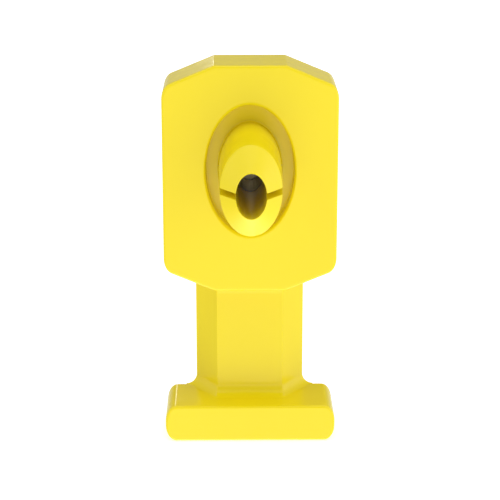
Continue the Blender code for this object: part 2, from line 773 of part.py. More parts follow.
head = add_pivot("head_turn_axis", (0, SPINDLE_Y, STEM_TOP), head_parts)
upper = add_pivot("upper_jaw_axis", (0, PIVOT_Y, WIRE_Z + PIVOT_OFFSET), upper_parts)
lower = add_pivot("lower_jaw_axis", (0, PIVOT_Y, WIRE_Z - PIVOT_OFFSET), lower_parts)
for child in (upper, lower):
    child.parent = head
    child.matrix_parent_inverse = head.matrix_world.inverted()
weld(PARTS.objects)
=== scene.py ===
"""Looks of the twist wire connector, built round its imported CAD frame."""

import json
import math

import bmesh
import bpy
from mathutils import Matrix, Vector


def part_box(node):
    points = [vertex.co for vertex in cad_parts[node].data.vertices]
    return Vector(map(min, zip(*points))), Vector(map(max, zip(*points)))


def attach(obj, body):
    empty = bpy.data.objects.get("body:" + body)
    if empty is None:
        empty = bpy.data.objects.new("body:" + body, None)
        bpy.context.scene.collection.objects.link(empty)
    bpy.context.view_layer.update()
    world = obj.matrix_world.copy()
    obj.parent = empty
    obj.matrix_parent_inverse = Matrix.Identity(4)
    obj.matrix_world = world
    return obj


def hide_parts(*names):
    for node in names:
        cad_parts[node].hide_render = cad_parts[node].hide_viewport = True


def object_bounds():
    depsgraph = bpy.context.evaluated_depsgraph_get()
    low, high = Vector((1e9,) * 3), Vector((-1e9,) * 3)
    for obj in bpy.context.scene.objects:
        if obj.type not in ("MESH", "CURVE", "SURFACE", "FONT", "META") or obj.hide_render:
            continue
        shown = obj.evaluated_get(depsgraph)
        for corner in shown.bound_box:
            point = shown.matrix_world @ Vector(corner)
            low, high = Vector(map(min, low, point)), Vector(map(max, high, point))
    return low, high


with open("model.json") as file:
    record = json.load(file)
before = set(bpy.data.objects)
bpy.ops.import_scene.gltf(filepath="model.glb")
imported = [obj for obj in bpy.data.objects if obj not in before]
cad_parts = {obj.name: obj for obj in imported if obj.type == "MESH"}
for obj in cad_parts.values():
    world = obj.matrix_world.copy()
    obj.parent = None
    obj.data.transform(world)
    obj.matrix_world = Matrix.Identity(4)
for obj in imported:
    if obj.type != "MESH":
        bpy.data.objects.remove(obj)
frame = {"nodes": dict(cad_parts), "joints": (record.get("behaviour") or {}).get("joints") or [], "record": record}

CAD_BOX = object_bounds()

# ---------------------------------------------------------------- sizes from the frame
foot_low, foot_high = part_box("twist_foot")
head_low, head_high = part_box("head_shell")
jaw_low, jaw_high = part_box("upper_jaw")
lower_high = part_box("lower_jaw")[1]
cover_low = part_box("rear_cover")[0]
liner_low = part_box("upper_contact")[0]

FRONT, BACK = foot_low.y, foot_high.y
FOOT_HALF = foot_high.x
STEM_TOP = foot_high.z
HEAD_HALF = head_high.x
HEAD_TOP = head_high.z
COLLAR_FOOT = head_low.z
SLIT_LOW, SLIT_HIGH = lower_high.z, jaw_low.z
WIRE_Z = (SLIT_LOW + SLIT_HIGH) / 2
TIP = jaw_low.y
ROOT_BACK = jaw_high.y
JOINTS = {j["name"]: j for j in frame["joints"]}
SPINDLE_Y = JOINTS["head_turn"]["pos_m"][1]
PIVOT_Y = JOINTS["upper_jaw_open"]["pos_m"][1]
PIVOT_OFFSET = JOINTS["upper_jaw_open"]["pos_m"][2] - WIRE_Z

# ---------------------------------------------------------------- sizes of the finer meshes
OVAL = 2 / 3                               # width of every round form over its height
MM = 0.001
GAP = 0.3 * MM                             # clearance between pieces
OVERLAP = 0.3 * MM                         # by which joined solids run into each other
PAST = 1.0 * MM                            # by which cutters run past a face
CORNER_RADIUS = 3.4 * MM                   # rounded outline corners of head and foot
FOLD_RADIUS = 0.35 * MM                    # softened folds of the head's outline
EDGE_FILLET = 0.6 * MM
FOOT_HEIGHT = 8.0 * MM
STEM_FRONT = FRONT + 7.1 * MM
STEM_FACET_HALF = 7.05 * MM
STEM_BACK_HALF = 11.65 * MM
STEM_FILLET = 2.4 * MM
STEM_EDGE = 0.30 * MM                      # softened upright edges of the stem
HEAD_BOTTOM = 33.9 * MM
FLARE_RADIUS = 3.1 * MM                    # fillet by which the stem widens under the head
FLARE_TOP = 33.5 * MM
COLLAR_TOP = 36.5 * MM                     # inside the head's floor
SPINDLE_BORE = 1.7 * MM                    # radius, as for every bore here
CROSS_PIN_BORE = 1.0 * MM
WASHER_SEAT_RADIUS = 2.6 * MM
WASHER_GAP = 0.15 * MM
PEG_ANGLE = 155                            # degrees; where the stop pegs stand on their circle
PEG_CIRCLE = 2.8 * MM
PEG_RADIUS = 0.45 * MM
PEG_HEIGHT = 1.8 * MM
HEAD_FLAT_HALF = 7.4 * MM
SHOULDER_RISE = 4.4 * MM
WALL = 2.6 * MM
FRONT_WALL = 4.6 * MM
CAVITY_FLOOR = 37.0 * MM
COVER_LEDGE = 1.1 * MM
COVER_EDGE = 0.2 * MM                      # softened rear edge of the cover
COVER_FRONT = cover_low.y
SCREWS = range(1, 5)
SCREW_BOSS_RADIUS = 2.1 * MM
PILOT_RADIUS = 1.1 * MM
PILOT_FLOOR = 0.3 * MM                     # left under each pilot hole
SINK_RADIUS = 1.8 * MM                     # mouth of the cover's countersinks
SINK_DEPTH = 0.7 * MM
SINK_CUT = 3.0 * MM                        # reach of their cutter, through the cover
LEDGE_Y = COVER_FRONT - 0.9 * MM
POCKET_RADIUS = 13.65 * MM
POCKET_DEPTH = 3.37 * MM
POCKET_CORNER = 0.15 * MM                  # softened corner between wall and floor
THROAT_RADIUS = 9.97 * MM
THROAT_EASE = 0.10 * MM
RIM_FILLET = 0.75 * MM
NOZZLE_ROOT_RADIUS = 9.72 * MM
NOZZLE_END_RADIUS = 9.25 * MM
NOZZLE_END = FRONT - 15.96 * MM
SKIRT_RADIUS = 10.08 * MM                  # small fillet at the nozzle's foot, over its throat
SKIRT_LIFT = 0.07 * MM                     # between the skirt and the pocket's floor
SKIRT_LIP = 0.07 * MM                      # upright edge of the skirt
SKIRT_FILLET = 0.35 * MM
MOUTH_EASE = 0.18 * MM                     # softened edge of the bore's mouth
SHOULDER_EASE = 0.25 * MM                  # softened fold between the cone and the nozzle
SHOULDER_FLARE = 0.006 * MM                # by which the nozzle widens over that fold
BORE_RADIUS = 4.53 * MM
BORE_SEAT_RADIUS = 5.33 * MM
LINER_SEAT = liner_low.y - GAP
PIVOT_BORE = 1.2 * MM
SPRING_POCKET_RADIUS = 1.9 * MM
SPRING_POCKET_DEPTH = 3.0 * MM
ROOT_HALF_WIDTH = 8.2 * MM
ROOT_REACH = jaw_high.z - WIRE_Z
ROOT_FRONT = FRONT + 5.5 * MM
TONGUE_INNER = 5.0 * MM                    # from the wire axis to a tongue of the lower jaw
TONGUE_LENGTH = 0.40 * MM                  # in front of the pocket's floor
TONGUE_SINK = 0.4 * MM                     # below the slit
TONGUE_GAP = 0.15 * MM                     # between a tongue and the upper jaw
TONGUE_BACK = ROOT_FRONT - 0.5 * MM

TURNS = 192                                # points round the large ovals
ROD_TURNS = 48
SINK_TURNS = 64
CORNER_TURNS = 12
FILLET_TURNS = 6
STEM_CORNER_TURNS = 10
STEM_SIDE_RUN = 10
STEM_FRONT_RUN = 14
STEM_FILLET_TURNS = 24
FLARE_TURNS = 12
COLLAR_TURNS = 6
HEAD_RUNS = [12, 8, 24, 8, 12, 8, 24, 8]   # steps along the head outline's straight runs
FOOT_RUNS = [24, 3, 24, 3]                 # the same for the foot bar

SMOOTH_ANGLE = 32                          # degrees; edges sharper than this stay sharp
MERGE = 2e-6                               # metres; closer points become one
MERGE_AFTER_CUTS = 3e-6


# ---------------------------------------------------------------- outlines
def moved_in(point, inset):
    """Where a point of an outline lies once the outline has moved inwards by inset."""
    if len(point) == 3:
        start, end, share = point
        return moved_in(start, inset).lerp(moved_in(end, inset), share)
    place, normal, limit, corner, mitre = point
    if inset > limit:
        return corner - mitre * inset
    return place - normal * inset


def rounded(corners, radii, runs):
    """Outline of corner arcs, each rounded in the round plan, and of runs between them.

    The round plan is the outline widened by 1 / OVAL, where the corner arcs are round.
    An arc's point is (point, outward normal, limit, corner, mitre): moved inwards by more
    than its limit, the arc has closed to a corner, which moves by mitre for each metre.
    A run's point is (arc point before, arc point after, share of the way).
    """
    wide = [Vector((x / OVAL, z)) for x, z in corners]
    arcs = []
    for i, (corner, radius) in enumerate(zip(wide, radii)):
        before = (wide[i - 1] - corner).normalized()
        after = (wide[(i + 1) % len(wide)] - corner).normalized()
        half = before.angle(after) / 2
        centre = corner + (before + after).normalized() * radius / math.sin(half)
        first = corner + before * radius / math.tan(half) - centre
        last = corner + after * radius / math.tan(half) - centre
        start = math.atan2(first.y, first.x)
        sweep = math.remainder(math.atan2(last.y, last.x) - start, math.tau)
        arc = []
        for k in range(CORNER_TURNS + 1):
            angle = start + sweep * k / CORNER_TURNS
            spoke = Vector((math.cos(angle), math.sin(angle)))
            normal = Vector((spoke.x / OVAL, spoke.y)).normalized()
            point = centre + spoke * radius
            arc.append((Vector((point.x * OVAL, point.y)), normal))
        one, other = arc[0][1], arc[-1][1]
        mitre = (one + other) / (1 + one.dot(other))
        place = Vector((corner.x * OVAL, corner.y))
        limit = radius * OVAL ** 2
        arcs.append([(p, n, limit, place, mitre) for p, n in arc])
    outline = []
    for i, arc in enumerate(arcs):
        outline += arc
        follow = arcs[(i + 1) % len(arcs)][0]
        for k in range(1, runs[i]):
            outline.append((arc[-1], follow, k / runs[i]))
    return outline


def head_corners(inset, floor):
    """Corners of the head's octagon, anticlockwise from the left end of its bottom flat."""
    half = HEAD_HALF - inset
    flat = HEAD_FLAT_HALF - inset / 2
    high = HEAD_TOP - inset
    return [
        (-flat, floor), (flat, floor), (half, floor + SHOULDER_RISE), (half, high - SHOULDER_RISE),
        (flat, high), (-flat, high), (-half, high - SHOULDER_RISE), (-half, floor + SHOULDER_RISE),
    ]


def head_outline(inset=0.0, floor=HEAD_BOTTOM, radius=CORNER_RADIUS):
    """Octagon of the head: folds at the flats' ends, larger corners at the sides."""
    side = [FOLD_RADIUS, FOLD_RADIUS, radius, radius]
    return rounded(head_corners(inset, floor), side + side, HEAD_RUNS)


def loop_at(outline, y, inset=0.0):
    """Outline at depth y, moved inwards by inset."""
    return [(p.x, y, p.y) for p in (moved_in(point, inset) for point in outline)]


def oval_at(outline, radius, y):
    """Oval loop about the wire axis, each point in the same direction as the outline's."""
    loop = []
    for point in outline:
        p = moved_in(point, 0.0)
        angle = math.atan2(p.y - WIRE_Z, p.x / OVAL)
        loop.append((radius * math.cos(angle) * OVAL, y, WIRE_Z + radius * math.sin(angle)))
    return loop


def fillet_steps(radius, steps=FILLET_TURNS):
    """Quarter round as (inset, depth behind the face), from the face to the side."""
    return [
        (radius * (1 - math.sin(a)), radius * (1 - math.cos(a)))
        for a in (math.pi / 2 * i / steps for i in range(steps + 1))
    ]


# ---------------------------------------------------------------- meshes
def finish_mesh(name, data):
    """Object made from mesh data, with its doubles merged and its faces turned outwards."""
    bmesh.ops.remove_doubles(data, verts=data.verts, dist=MERGE)
    bmesh.ops.dissolve_degenerate(data, edges=data.edges, dist=1e-6)
    bmesh.ops.recalc_face_normals(data, faces=data.faces)
    mesh = bpy.data.meshes.new(name)
    data.to_mesh(mesh)
    data.free()
    piece = bpy.data.objects.new(name, mesh)
    bpy.context.scene.collection.objects.link(piece)
    shade(piece)
    return piece


def shade(piece):
    """Smooth shading, except over edges that are sharper than SMOOTH_ANGLE."""
    piece.data.shade_smooth()
    piece.data.set_sharp_from_angle(angle=math.radians(SMOOTH_ANGLE))


def loft(name, loops, ring=False):
    """Solid through loops of equally many points; ring joins the last loop to the first."""
    data = bmesh.new()
    rows = [[data.verts.new(p) for p in loop] for loop in loops]
    count = len(rows[0])
    pairs = list(zip(rows, rows[1:]))
    if ring:
        pairs.append((rows[-1], rows[0]))
    for low, high in pairs:
        for i in range(count):
            j = (i + 1) % count
            data.faces.new((low[i], low[j], high[j], high[i]))
    if not ring:
        data.faces.new(rows[0][::-1])
        data.faces.new(rows[-1])
    return finish_mesh(name, data)


def turned(name, profile, origin, oval=OVAL, steps=TURNS):
    """Closed profile of (radius, distance along -Y) turned about -Y through origin."""
    data = bmesh.new()
    rows = []
    for k in range(steps):
        angle = math.tau * k / steps
        row = []
        for radius, distance in profile:
            place = (radius * math.cos(angle) * oval, -distance, radius * math.sin(angle))
            row.append(data.verts.new(Vector(origin) + Vector(place)))
        rows.append(row)
    count = len(profile)
    for k in range(steps):
        here, there = rows[k], rows[(k + 1) % steps]
        for i in range(count):
            j = (i + 1) % count
            if profile[i][0] == 0 and profile[j][0] == 0:
                continue
            corners = [here[i], here[j]]
            if profile[j][0] != 0:
                corners.append(there[j])
            if profile[i][0] != 0:
                corners.append(there[i])
            data.faces.new(corners)
    return finish_mesh(name, data)


def rod(name, start, end, radius):
    """Round bar from one point to another."""
    start, end = Vector(start), Vector(end)
    along = end - start
    data = bmesh.new()
    bmesh.ops.create_cone(
        data, cap_ends=True, segments=ROD_TURNS, radius1=radius, radius2=radius, depth=along.length
    )
    turn = along.to_track_quat("Z", "Y").to_matrix().to_4x4()
    middle = Matrix.Translation((start + end) / 2)
    bmesh.ops.transform(data, matrix=middle @ turn, verts=data.verts)
    return finish_mesh(name, data)


def block(name, low, high):
    """Box between two opposite corners."""
    data = bmesh.new()
    bmesh.ops.create_cube(data, size=1.0)
    for vertex in data.verts:
        vertex.co = [a + (b - a) * (c + 0.5) for a, b, c in zip(low, high, vertex.co)]
    return finish_mesh(name, data)


def apply_modifiers(piece):
    """The piece keeps the mesh that its modifiers make."""
    evaluated = piece.evaluated_get(bpy.context.evaluated_depsgraph_get())
    mesh = bpy.data.meshes.new_from_object(evaluated)
    piece.modifiers.clear()
    piece.data = mesh


def combine(piece, other, operation):
    """Exact boolean with a helper, which is then removed."""
    step = piece.modifiers.new("step", "BOOLEAN")
    step.operation = operation
    step.solver = "EXACT"
    step.object = other
    bpy.context.view_layer.update()
    apply_modifiers(piece)
    bpy.data.objects.remove(other, do_unlink=True)


def carve(piece, *cutters):
    """All cutters taken away from the piece in one exact step; they are then removed."""
    group = bpy.data.collections.new("cutters")
    for cutter in cutters:
        group.objects.link(cutter)
    step = piece.modifiers.new("step", "BOOLEAN")
    step.operation = "DIFFERENCE"
    step.solver = "EXACT"
    step.operand_type = "COLLECTION"
    step.collection = group
    bpy.context.view_layer.update()
    apply_modifiers(piece)
    for cutter in cutters:
        bpy.data.objects.remove(cutter, do_unlink=True)
    bpy.data.collections.remove(group)


def clean(piece):
    """Merge what the cuts left, and set the shading."""
    data = bmesh.new()
    data.from_mesh(piece.data)
    bmesh.ops.remove_doubles(data, verts=data.verts, dist=MERGE_AFTER_CUTS)
    bmesh.ops.dissolve_limit(
        data, angle_limit=math.radians(0.05), verts=data.verts, edges=data.edges,
        delimit={"NORMAL"},
    )
    data.to_mesh(piece.data)
    data.free()
    shade(piece)
    weigh = piece.modifiers.new("weighted_normals", "WEIGHTED_NORMAL")
    weigh.keep_sharp = True
    weigh.weight = 50
    bpy.context.view_layer.update()
    apply_modifiers(piece)


# ---------------------------------------------------------------- materials
class Nodes:
    """Small builder for one node material."""

    def __init__(self, name):
        self.material = bpy.data.materials.new(name)
        self.material.use_nodes = True
        self.tree = self.material.node_tree
        self.shader = self.tree.nodes["Principled BSDF"]
        self.place = self.add("ShaderNodeTexCoord").outputs["Object"]

    def add(self, kind, **settings):
        node = self.tree.nodes.new(kind)
        for key, value in settings.items():
            setattr(node, key, value)
        return node

    def link(self, source, target):
        self.tree.links.new(source, target)

    def noise(self, scale, detail=4.0, roughness=0.5, stretch=None):
        node = self.add("ShaderNodeTexNoise")
        node.inputs["Scale"].default_value = scale
        node.inputs["Detail"].default_value = detail
        node.inputs["Roughness"].default_value = roughness
        place = self.place
        if stretch:
            mapping = self.add("ShaderNodeMapping")
            mapping.inputs["Scale"].default_value = stretch
            self.link(place, mapping.inputs["Vector"])
            place = mapping.outputs["Vector"]
        self.link(place, node.inputs["Vector"])
        return node.outputs["Fac"]

    def spread(self, value, low, high):
        """Noise brought from its usual range to low..high."""
        node = self.add("ShaderNodeMapRange")
        node.inputs["From Min"].default_value = 0.35
        node.inputs["From Max"].default_value = 0.65
        node.inputs["To Min"].default_value = low
        node.inputs["To Max"].default_value = high
        self.link(value, node.inputs["Value"])
        return node.outputs["Result"]

    def math(self, operation, a, b):
        node = self.add("ShaderNodeMath", operation=operation)
        for socket, value in zip(node.inputs, (a, b)):
            if isinstance(value, (int, float)):
                socket.default_value = value
            else:
                self.link(value, socket)
        return node.outputs["Value"]

    def mix(self, factor, a, b):
        """Colour between a and b; 6, 7 and 2 are the mix node's colour sockets."""
        node = self.add("ShaderNodeMix", data_type="RGBA")
        self.link(factor, node.inputs[0])
        node.inputs[6].default_value = (*a, 1.0)
        node.inputs[7].default_value = (*b, 1.0)
        return node.outputs[2]

    def bump(self, height, strength, distance, normal=None):
        node = self.add("ShaderNodeBump")
        node.inputs["Strength"].default_value = strength
        node.inputs["Distance"].default_value = distance
        self.link(height, node.inputs["Height"])
        if normal:
            self.link(normal, node.inputs["Normal"])
        return node.outputs["Normal"]


def moulded_plastic(name, light, deep, gloss):
    """Glossy moulded plastic: faint flow marks, fine grain and slightly uneven gloss."""
    n = Nodes(name)
    marks = n.noise(55.0, detail=3.0, roughness=0.45, stretch=(1.0, 1.0, 0.35))
    flow = n.spread(marks, 0.0, 1.0)
    cloud = n.spread(n.noise(160.0, 2.0), 0.0, 1.0)
    shade_of = n.math("ADD", n.math("MULTIPLY", flow, 0.7), n.math("MULTIPLY", cloud, 0.3))
    n.link(n.mix(shade_of, light, deep), n.shader.inputs["Base Color"])
    grain = n.noise(9000.0, 2.0)
    sink = n.noise(140.0, 2.0)
    soft = n.bump(sink, strength=0.05, distance=0.3 * MM)
    fine = n.bump(grain, strength=0.05, distance=0.006 * MM, normal=soft)
    n.link(fine, n.shader.inputs["Normal"])
    uneven = n.spread(n.noise(420.0, 4.0), gloss - 0.03, gloss + 0.04)
    n.link(uneven, n.shader.inputs["Roughness"])
    n.shader.inputs["IOR"].default_value = 1.40
    return n.material


def brushed_metal(name, light, deep, gloss, stretch):
    """Drawn or pressed metal with fine lines along one direction and faint smudges."""
    n = Nodes(name)
    lines = n.noise(900.0, 3.0, 0.6, stretch)
    smudge = n.spread(n.noise(260.0, 4.0), 0.0, 1.0)
    n.link(n.mix(smudge, light, deep), n.shader.inputs["Base Color"])
    n.link(n.spread(lines, gloss - 0.06, gloss + 0.10), n.shader.inputs["Roughness"])
    n.link(n.bump(lines, strength=0.15, distance=0.01 * MM), n.shader.inputs["Normal"])
    n.shader.inputs["Metallic"].default_value = 1.0
    return n.material


def matt_polymer(name, light, deep, gloss):
    """Matt rubber or bearing plastic with a fine sandy grain."""
    n = Nodes(name)
    cloud = n.spread(n.noise(300.0, 3.0), 0.0, 1.0)
    n.link(n.mix(cloud, light, deep), n.shader.inputs["Base Color"])
    grain = n.noise(5000.0, 3.0)
    n.link(n.bump(grain, strength=0.2, distance=0.02 * MM), n.shader.inputs["Normal"])
    n.link(n.spread(grain, gloss - 0.05, gloss + 0.05), n.shader.inputs["Roughness"])
    return n.material


YELLOW = moulded_plastic(
    "yellow_moulding", light=(0.785, 0.632, 0.0060), deep=(0.770, 0.617, 0.0052), gloss=0.20
)
STEEL = brushed_metal(
    "spring_steel", light=(0.66, 0.67, 0.69), deep=(0.55, 0.56, 0.58), gloss=0.26,
    stretch=(1.0, 1.0, 0.08),
)
BRASS = brushed_metal(
    "contact_brass", light=(0.50, 0.42, 0.18), deep=(0.40, 0.33, 0.13), gloss=0.38,
    stretch=(1.0, 0.06, 1.0),
)
WASHER = matt_polymer(
    "seam_washer", light=(0.05, 0.05, 0.05), deep=(0.035, 0.035, 0.036), gloss=0.5
)
RUBBER = matt_polymer(
    "cover_seal", light=(0.03, 0.03, 0.03), deep=(0.02, 0.02, 0.021), gloss=0.75
)
BY_SLOT = {
    "yellow_moulding": YELLOW, "spring_steel": STEEL, "contact_brass": BRASS,
    "seam_washer": WASHER, "cover_seal": RUBBER,
}


def dress(piece, slot, body, *nodes):
    """Material and body of a finer mesh, and the CAD nodes that it stands in for."""
    piece.data.materials.clear()
    piece.data.materials.append(BY_SLOT[slot])
    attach(piece, body)
    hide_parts(*nodes)


# ---------------------------------------------------------------- foot and stem
def stem_ring(height, spread):
    """Plan of the stem, widened by spread: front facet, chamfers, flat back.

    It is drawn in the round plan, where the chamfers lie at 45 degrees.
    """
    front = Vector((STEM_FACET_HALF / OVAL, STEM_FRONT))
    back = Vector((STEM_BACK_HALF / OVAL, BACK))
    along = (back - front).normalized()
    outward = Vector((along.y, -along.x))
    radius = spread + STEM_EDGE
    inward = Vector((-1.0, 0.0))
    half = inward.angle(along) / 2
    centre = front + (inward + along).normalized() * STEM_EDGE / math.sin(half)
    first = -math.pi / 2
    last = math.atan2(outward.y, outward.x)
    right = []
    for i in range(STEM_CORNER_TURNS + 1):
        angle = first + (last - first) * i / STEM_CORNER_TURNS
        right.append(centre + Vector((math.cos(angle), math.sin(angle))) * radius)
    foot = right[-1]
    rear = foot + along * (BACK - foot.y) / along.y
    right += [foot.lerp(rear, i / STEM_SIDE_RUN) for i in range(1, STEM_SIDE_RUN + 1)]
    left = [Vector((-p.x, p.y)) for p in reversed(right)]
    across = [left[-1].lerp(right[0], i / STEM_FRONT_RUN) for i in range(1, STEM_FRONT_RUN)]
    return [(p.x * OVAL, p.y, height) for p in left + across + right]


def flare_rings(low, high, steps):
    """Rings of the fillet under the head, from one height to another."""
    rings = []
    for i in range(steps + 1):
        height = low + (high - low) * i / steps
        rise = height - (HEAD_BOTTOM - FLARE_RADIUS)
        rings.append(stem_ring(height, FLARE_RADIUS - math.sqrt(FLARE_RADIUS ** 2 - rise ** 2)))
    return rings


def make_foot():
    """T-foot bar and stem, with the bores of the spindle and of its cross pin."""
    corners = [(-FOOT_HALF, 0), (FOOT_HALF, 0), (FOOT_HALF, FOOT_HEIGHT), (-FOOT_HALF, FOOT_HEIGHT)]
    outline = rounded(corners, [CORNER_RADIUS] * 4, FOOT_RUNS)
    steps = fillet_steps(EDGE_FILLET)
    loops = [loop_at(outline, FRONT + depth, inset) for inset, depth in steps]
    loops += [loop_at(outline, BACK - depth, inset) for inset, depth in reversed(steps)]
    foot = loft("twist_foot_moulding", loops)
    rings = [stem_ring(FOOT_HEIGHT - EDGE_FILLET, STEM_FILLET)]
    for spread, rise in fillet_steps(STEM_FILLET, STEM_FILLET_TURNS):
        rings.append(stem_ring(FOOT_HEIGHT + rise, spread))
    rings += flare_rings(HEAD_BOTTOM - FLARE_RADIUS, STEM_TOP, FLARE_TURNS)
    combine(foot, loft("stem", rings), "UNION")
    spindle_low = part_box("swivel_spindle")[0].z
    start, end = (0, SPINDLE_Y, spindle_low - GAP), (0, SPINDLE_Y, STEM_TOP + PAST)
    combine(foot, rod("bore", start, end, SPINDLE_BORE), "DIFFERENCE")
    pin_low, pin_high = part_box("cross_pin")
    pin_z = (pin_low.z + pin_high.z) / 2
    cross = rod("cross", (0, SPINDLE_Y, pin_z), (0, BACK + PAST, pin_z), CROSS_PIN_BORE)
    combine(foot, cross, "DIFFERENCE")
    clean(foot)
    dress(foot, "yellow_moulding", "foot", "twist_foot")


# ---------------------------------------------------------------- head
def make_head():
    """Housing with its pocket and throat, collar, spindle bore, screw bosses and stop pegs."""
    outer = head_outline()
    inner = head_outline(WALL, CAVITY_FLOOR, CORNER_RADIUS - WALL / 2)
    seat = head_outline(WALL - COVER_LEDGE, CAVITY_FLOOR - COVER_LEDGE, CORNER_RADIUS - WALL / 2)
    steps = fillet_steps(EDGE_FILLET)
    loops = [loop_at(outer, BACK - depth, inset) for inset, depth in steps]
    loops += [loop_at(outer, FRONT + depth, inset) for inset, depth in reversed(steps)]
    rim = [(POCKET_RADIUS + inset, depth) for inset, depth in fillet_steps(RIM_FILLET, 10)]
    for rise, inset in fillet_steps(POCKET_CORNER, 4):
        rim.append((POCKET_RADIUS - inset, POCKET_DEPTH - rise))
    for inset, depth in fillet_steps(THROAT_EASE, 3):
        rim.append((THROAT_RADIUS + inset, POCKET_DEPTH + depth))
    rim.append((THROAT_RADIUS, FRONT_WALL))
    loops += [oval_at(outer, across, FRONT + depth) for across, depth in rim]
    cavity_front = FRONT + FRONT_WALL
    loops += [loop_at(inner, cavity_front), loop_at(inner, LEDGE_Y)]
    loops += [loop_at(seat, LEDGE_Y), loop_at(seat, BACK)]
    head = loft("head_moulding", loops, ring=True)
    collar = flare_rings(COLLAR_FOOT, FLARE_TOP, COLLAR_TURNS)
    collar.append([(x, y, COLLAR_TOP) for x, y, _ in collar[-1]])
    combine(head, loft("collar", collar), "UNION")
    start, end = (0, SPINDLE_Y, COLLAR_FOOT - PAST), (0, SPINDLE_Y, CAVITY_FLOOR + PAST)
    combine(head, rod("floor", start, end, SPINDLE_BORE), "DIFFERENCE")
    washer_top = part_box("seam_washer")[1].z + WASHER_GAP
    washer_seat = rod("washer_seat", start, (0, SPINDLE_Y, washer_top), WASHER_SEAT_RADIUS)
    combine(head, washer_seat, "DIFFERENCE")
    for number in SCREWS:
        low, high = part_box(f"cover_screw_{number}")
        x, z = (low.x + high.x) / 2, (low.z + high.z) / 2
        start, end = (x, cavity_front - PAST, z), (x, COVER_FRONT - GAP, z)
        combine(head, rod("boss", start, end, SCREW_BOSS_RADIUS), "UNION")
        start, end = (x, cavity_front + PILOT_FLOOR, z), (x, BACK, z)
        combine(head, rod("pilot", start, end, PILOT_RADIUS), "DIFFERENCE")
    turn = math.radians(PEG_ANGLE)
    for side in (-1, 1):
        x = PEG_CIRCLE * math.cos(turn)
        y = SPINDLE_Y + side * PEG_CIRCLE * math.sin(turn)
        start, end = (x, y, CAVITY_FLOOR - OVERLAP), (x, y, CAVITY_FLOOR + PEG_HEIGHT)
        combine(head, rod("peg", start, end, PEG_RADIUS), "UNION")
    clean(head)
    dress(head, "yellow_moulding", "head", "head_shell")


def make_cover():
    """Plate that closes the head from behind, with a countersink for each screw."""
    inset = WALL - COVER_LEDGE + GAP
    floor = CAVITY_FLOOR - COVER_LEDGE + GAP
    outline = head_outline(inset, floor, CORNER_RADIUS - WALL / 2)
    steps = fillet_steps(COVER_EDGE, 3)
    loops = [loop_at(outline, COVER_FRONT)]
    loops += [loop_at(outline, BACK - depth, inset) for inset, depth in reversed(steps)]
    cover = loft("rear_cover_moulding", loops)
    profile = [
        (0, -PAST), (SINK_RADIUS + PAST, -PAST), (SINK_RADIUS, 0), (PILOT_RADIUS, SINK_DEPTH),
        (PILOT_RADIUS, SINK_CUT), (0, SINK_CUT),
    ]
    for number in SCREWS:
        low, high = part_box(f"cover_screw_{number}")
        x, z = (low.x + high.x) / 2, (low.z + high.z) / 2
        sink = turned("sink", profile, (x, BACK, z), oval=1, steps=SINK_TURNS)
        combine(cover, sink, "DIFFERENCE")
    clean(cover)
    dress(cover, "yellow_moulding", "head", "rear_cover")


# ---------------------------------------------------------------- jaws
def spare_slit_ends(cutter):
    """Notches in the slit's cutter: they leave the lower jaw small tongues in the slit's ends."""
    outer = SKIRT_RADIUS * OVAL + PAST
    front = FRONT + POCKET_DEPTH - TONGUE_LENGTH
    for low, high in ((-outer, -TONGUE_INNER), (TONGUE_INNER, outer)):
        start = (low, front, SLIT_LOW - TONGUE_SINK)
        end = (high, TONGUE_BACK, SLIT_HIGH - TONGUE_GAP)
        combine(cutter, block("tongue", start, end), "DIFFERENCE")


